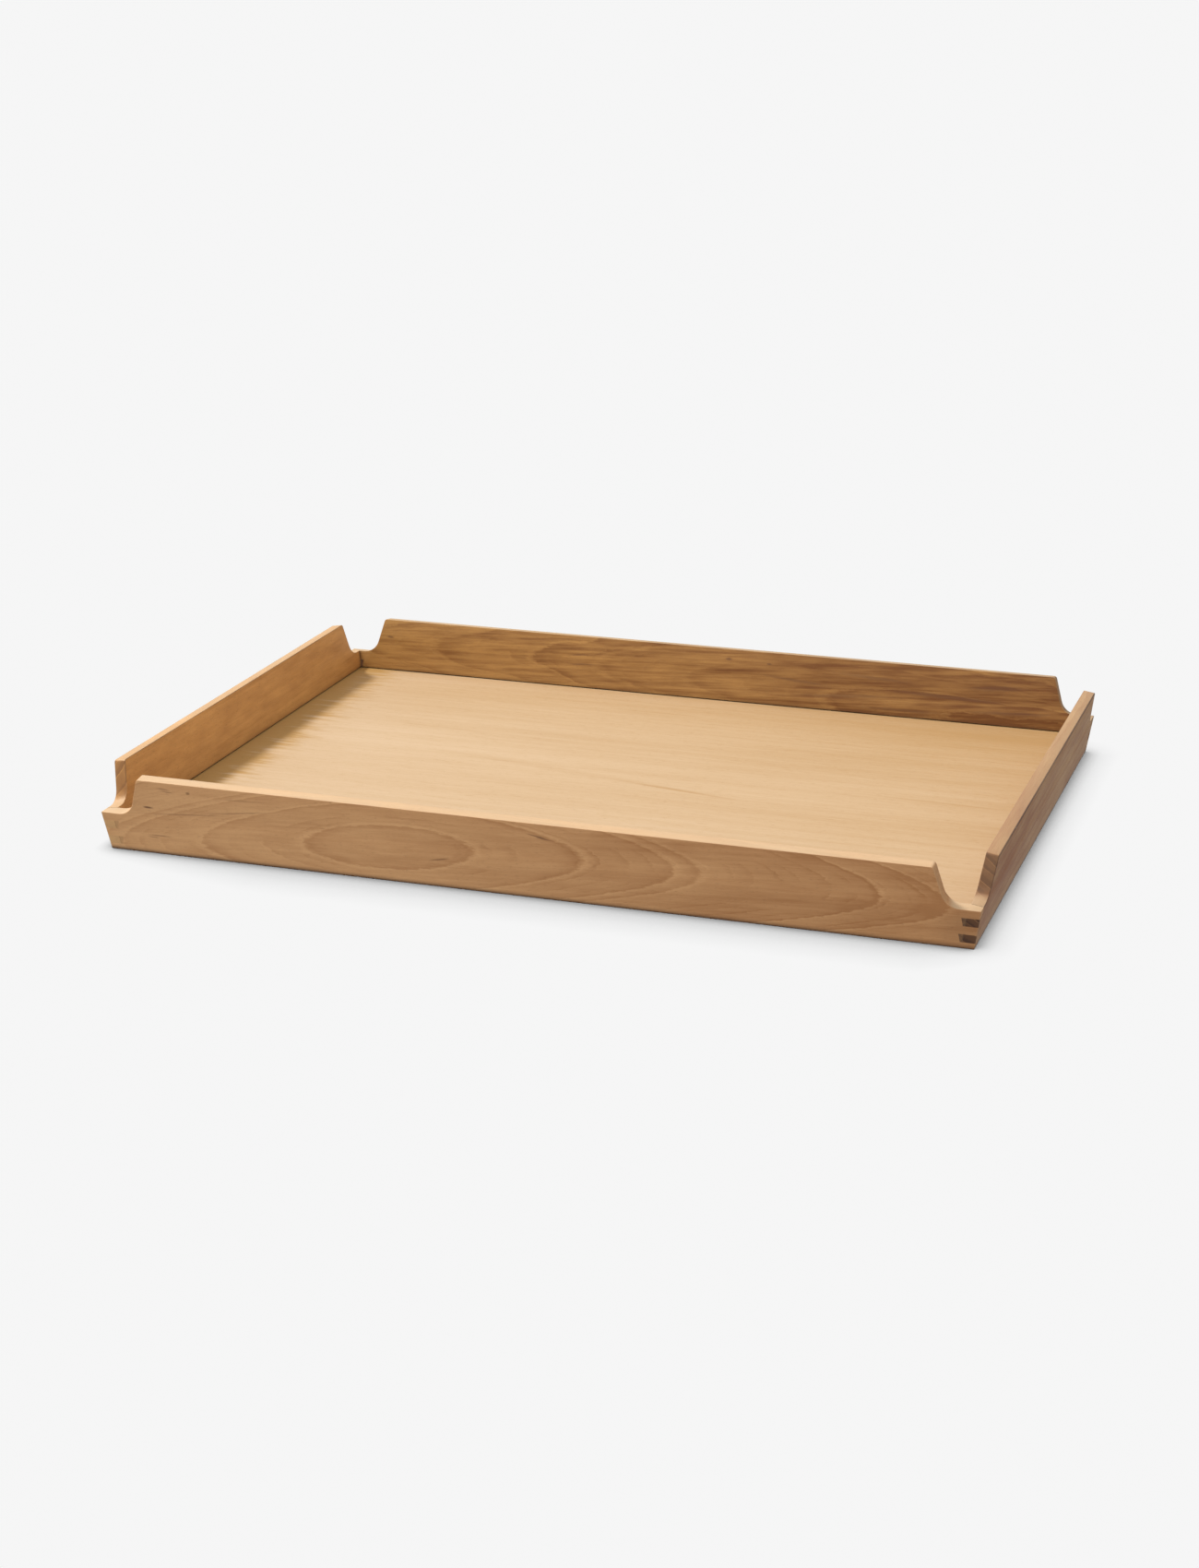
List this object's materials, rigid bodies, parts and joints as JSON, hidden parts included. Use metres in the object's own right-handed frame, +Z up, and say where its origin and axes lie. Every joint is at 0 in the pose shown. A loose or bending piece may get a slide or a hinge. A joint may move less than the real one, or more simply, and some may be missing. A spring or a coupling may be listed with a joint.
{
  "type": "serving tray",
  "caption": "Open wooden serving tray with thin outward-leaning rails, finger-jointed corners that dip low, and a flat veneered base.",
  "frame": {"origin": "middle of the footprint, on the surface that the tray stands on", "axes": "+X along the tray's length towards the right end rail, -Y towards the front rail, +Z up"},
  "size_m": [0.508, 0.362, 0.046],
  "materials": {
    "long_rail_wood": "oiled teak, brown with darker streaks",
    "end_rail_wood": "oiled teak, warm brown",
    "face_veneer": "matt straight-grained light veneer",
    "core_ply": "unfinished core ply",
    "joint_filler": "dark wood filler"
  },
  "bodies": {
    "root": {"front_rail": "long_rail_wood", "back_rail": "long_rail_wood", "left_rail": "end_rail_wood", "right_rail": "end_rail_wood", "base_core": "core_ply", "base_top_veneer": "face_veneer", "base_bottom_veneer": "face_veneer", "front_left_filler": "joint_filler", "front_right_filler": "joint_filler", "back_left_filler": "joint_filler", "back_right_filler": "joint_filler"}
  },
  "joints": []
}
